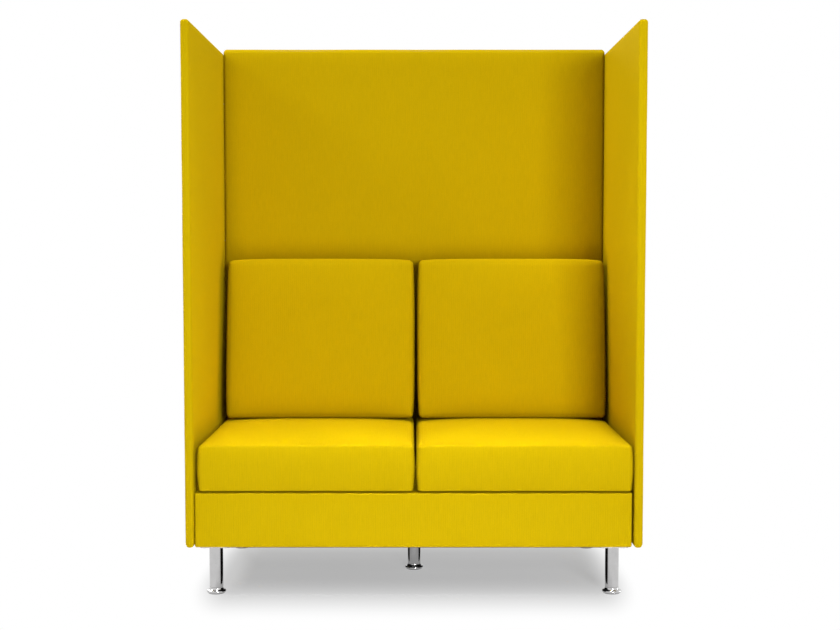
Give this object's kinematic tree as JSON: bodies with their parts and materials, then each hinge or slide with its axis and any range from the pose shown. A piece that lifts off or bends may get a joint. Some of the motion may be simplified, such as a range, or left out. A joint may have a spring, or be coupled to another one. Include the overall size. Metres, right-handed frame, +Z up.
{
  "type": "high-backed sofa",
  "caption": "Office sofa with loose seat and back cushions between tall upholstered screens, on a padded base with chrome levelling legs.",
  "frame": {"origin": "on the floor under the middle of the sofa", "axes": "+X to the right in a front view, +Y from the front to the back, +Z up"},
  "size_m": [1.26, 0.72, 1.588],
  "materials": {
    "screen_fabric": "matte",
    "base_fabric": "matte",
    "cushion_fabric": "matte",
    "foam": "matte",
    "plywood": "matte",
    "softwood": "matte",
    "chrome": "polished",
    "glide_plastic": "matte",
    "webbing": "matte",
    "felt": "matte",
    "dust_cloth": "matte",
    "grip_tape": "matte",
    "zinc_steel": "satin"
  },
  "bodies": {
    "sofa": {"back_screen_board": "plywood", "back_screen_cover": "screen_fabric", "base_cover": "base_fabric", "centre_leg_plate": "zinc_steel", "centre_leg_tube": "chrome", "centre_rail": "softwood", "cross_webbing": "webbing", "deck_felt": "felt", "deck_grips": "grip_tape", "dust_cover": "dust_cloth", "frame_screws": "zinc_steel", "front_left_leg_plate": "zinc_steel", "front_left_leg_tube": "chrome", "front_rail": "softwood", "front_right_leg_plate": "zinc_steel", "front_right_leg_tube": "chrome", "hook_studs": "zinc_steel", "keyhole_plates": "zinc_steel", "left_rail": "softwood", "left_screen_board": "plywood", "left_screen_cover": "screen_fabric", "leg_blocks": "plywood", "leg_inserts": "zinc_steel", "leg_screws": "zinc_steel", "long_webbing": "webbing", "rear_left_leg_plate": "zinc_steel", "rear_left_leg_tube": "chrome", "rear_rail": "softwood", "rear_right_leg_plate": "zinc_steel", "rear_right_leg_tube": "chrome", "right_rail": "softwood", "right_screen_board": "plywood", "right_screen_cover": "screen_fabric", "screen_bolts": "zinc_steel", "screen_inserts": "zinc_steel", "screen_washers": "zinc_steel"},
    "left_seat_cushion": {"left_seat_cover": "cushion_fabric", "left_seat_foam": "foam", "left_seat_grips": "grip_tape"},
    "left_back_cushion": {"left_back_cushion_cover": "cushion_fabric", "left_back_cushion_foam": "foam"},
    "right_seat_cushion": {"right_seat_cover": "cushion_fabric", "right_seat_foam": "foam", "right_seat_grips": "grip_tape"},
    "right_back_cushion": {"right_back_cushion_cover": "cushion_fabric", "right_back_cushion_foam": "foam"},
    "front_left_glide": {"front_left_foot_pad": "glide_plastic"},
    "front_left_levelling_foot": {"front_left_foot": "chrome"},
    "front_right_glide": {"front_right_foot_pad": "glide_plastic"},
    "front_right_levelling_foot": {"front_right_foot": "chrome"},
    "rear_left_glide": {"rear_left_foot_pad": "glide_plastic"},
    "rear_left_levelling_foot": {"rear_left_foot": "chrome"},
    "rear_right_glide": {"rear_right_foot_pad": "glide_plastic"},
    "rear_right_levelling_foot": {"rear_right_foot": "chrome"},
    "centre_glide": {"centre_foot_pad": "glide_plastic"},
    "centre_levelling_foot": {"centre_foot": "chrome"}
  },
  "joints": [
    {"name": "left_seat_pull_out", "type": "slide", "parent": "sofa", "child": "left_seat_cushion", "axis": [0, -1, 0], "range_m": [0, 0.7]},
    {"name": "left_back_lift_out", "type": "slide", "parent": "sofa", "child": "left_back_cushion", "axis": [0, -0.8, 0.6], "range_m": [0, 0.9]},
    {"name": "right_seat_pull_out", "type": "slide", "parent": "sofa", "child": "right_seat_cushion", "axis": [0, -1, 0], "range_m": [0, 0.7]},
    {"name": "right_back_lift_out", "type": "slide", "parent": "sofa", "child": "right_back_cushion", "axis": [0, -0.8, 0.6], "range_m": [0, 0.9]},
    {"name": "front_left_level", "type": "slide", "parent": "sofa", "child": "front_left_glide", "axis": [0, 0, -1], "range_m": [0, 0.01201]},
    {"name": "front_left_turn", "type": "hinge", "parent": "front_left_glide", "child": "front_left_levelling_foot", "pos_m": [-0.552, -0.308, 0], "axis": [0, 0, -1], "range_deg": [0, 2880]},
    {"name": "front_right_level", "type": "slide", "parent": "sofa", "child": "front_right_glide", "axis": [0, 0, -1], "range_m": [0, 0.01201]},
    {"name": "front_right_turn", "type": "hinge", "parent": "front_right_glide", "child": "front_right_levelling_foot", "pos_m": [0.552, -0.308, 0], "axis": [0, 0, -1], "range_deg": [0, 2880]},
    {"name": "rear_left_level", "type": "slide", "parent": "sofa", "child": "rear_left_glide", "axis": [0, 0, -1], "range_m": [0, 0.01201]},
    {"name": "rear_left_turn", "type": "hinge", "parent": "rear_left_glide", "child": "rear_left_levelling_foot", "pos_m": [-0.552, 0.284, 0], "axis": [0, 0, -1], "range_deg": [0, 2880]},
    {"name": "rear_right_level", "type": "slide", "parent": "sofa", "child": "rear_right_glide", "axis": [0, 0, -1], "range_m": [0, 0.01201]},
    {"name": "rear_right_turn", "type": "hinge", "parent": "rear_right_glide", "child": "rear_right_levelling_foot", "pos_m": [0.552, 0.284, 0], "axis": [0, 0, -1], "range_deg": [0, 2880]},
    {"name": "centre_level", "type": "slide", "parent": "sofa", "child": "centre_glide", "axis": [0, 0, -1], "range_m": [0, 0.01201]},
    {"name": "centre_turn", "type": "hinge", "parent": "centre_glide", "child": "centre_levelling_foot", "pos_m": [0, -0.012, 0], "axis": [0, 0, -1], "range_deg": [0, 2880]}
  ],
  "couplings": [
    {"joint": "front_left_level", "follows": "front_left_turn", "m_per_rad": 0.00023873},
    {"joint": "front_right_level", "follows": "front_right_turn", "m_per_rad": 0.00023873},
    {"joint": "rear_left_level", "follows": "rear_left_turn", "m_per_rad": 0.00023873},
    {"joint": "rear_right_level", "follows": "rear_right_turn", "m_per_rad": 0.00023873},
    {"joint": "centre_level", "follows": "centre_turn", "m_per_rad": 0.00023873}
  ]
}
